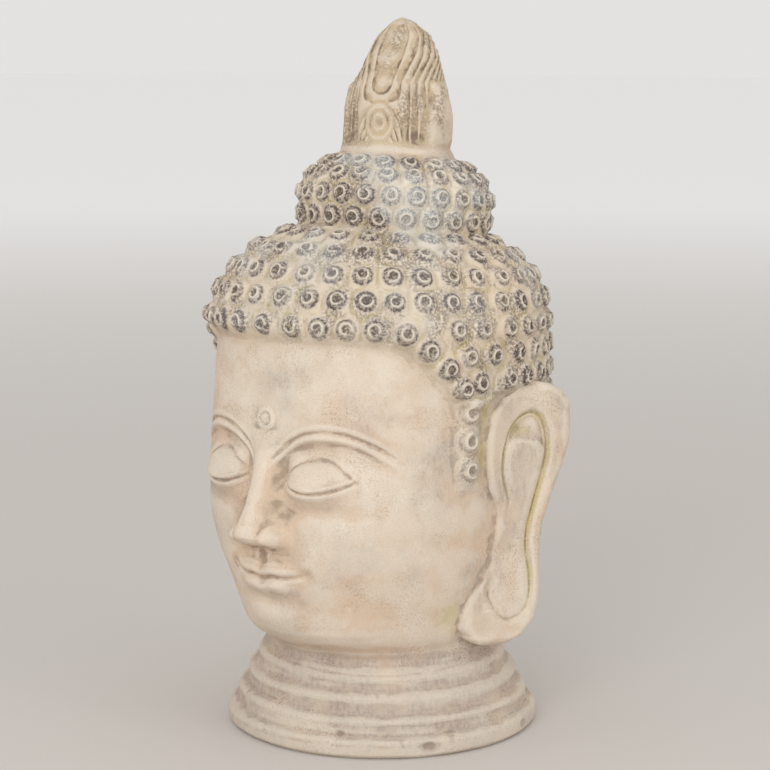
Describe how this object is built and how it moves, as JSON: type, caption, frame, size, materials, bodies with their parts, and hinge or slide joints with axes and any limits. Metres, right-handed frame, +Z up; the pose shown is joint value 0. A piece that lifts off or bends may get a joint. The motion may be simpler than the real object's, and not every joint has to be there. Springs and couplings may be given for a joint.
{
  "type": "stone buddha head",
  "caption": "Garden head of a Buddha in cast stone, with snail curls, long ears, a flame on top and a round foot.",
  "frame": {"origin": "centre of the round underside of the foot", "axes": "+Z up; the face looks along -Y; the head's own left ear is on +X"},
  "size_m": [0.2688, 0.2993, 0.54],
  "materials": {
    "stone": "matte"
  },
  "bodies": {
    "root": {"buddha_head": "stone"}
  },
  "joints": []
}
